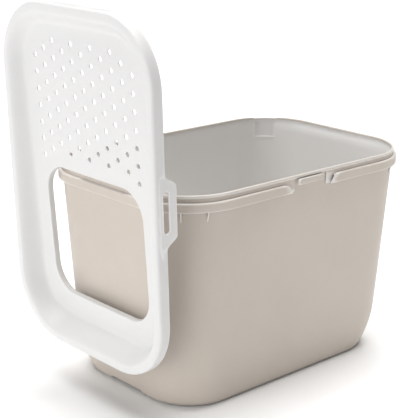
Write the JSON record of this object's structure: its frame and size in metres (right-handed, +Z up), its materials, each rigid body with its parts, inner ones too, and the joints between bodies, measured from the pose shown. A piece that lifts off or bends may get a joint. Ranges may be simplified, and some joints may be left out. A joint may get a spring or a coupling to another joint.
{
  "type": "top-entry cat litter box",
  "caption": "Tall open litter tub with a flanged rim; its perforated lid with a cat entrance hangs upright on the tub's short end.",
  "frame": {"origin": "centre of the tub's base, on the floor", "axes": "+X along the tub, away from the hung lid; +Y towards the far long side; +Z up"},
  "size_m": [0.6425, 0.39, 0.6675],
  "materials": {
    "tub_plastic": "satin",
    "lid_plastic": "satin"
  },
  "bodies": {
    "tub": {"tub": "tub_plastic"},
    "lid": {"lid": "lid_plastic"},
    "near_loop": {"near_latch_loop": "lid_plastic"},
    "far_loop": {"far_latch_loop": "lid_plastic"}
  },
  "joints": [
    {"name": "lid_lift", "type": "slide", "parent": "tub", "child": "lid", "axis": [-0.0872, 0, 0.9962], "range_m": [0, 0.33]},
    {"name": "near_loop_flex", "type": "hinge", "parent": "lid", "child": "near_loop", "pos_m": [-0.32951, -0.1937, 0.37476], "axis": [0.0401, 0, -0.9992], "range_deg": [0, 15], "stiffness_Nm_per_rad": 0.5},
    {"name": "far_loop_flex", "type": "hinge", "parent": "lid", "child": "far_loop", "pos_m": [-0.32951, 0.1937, 0.37476], "axis": [-0.0401, 0, 0.9992], "range_deg": [0, 15], "stiffness_Nm_per_rad": 0.5}
  ]
}
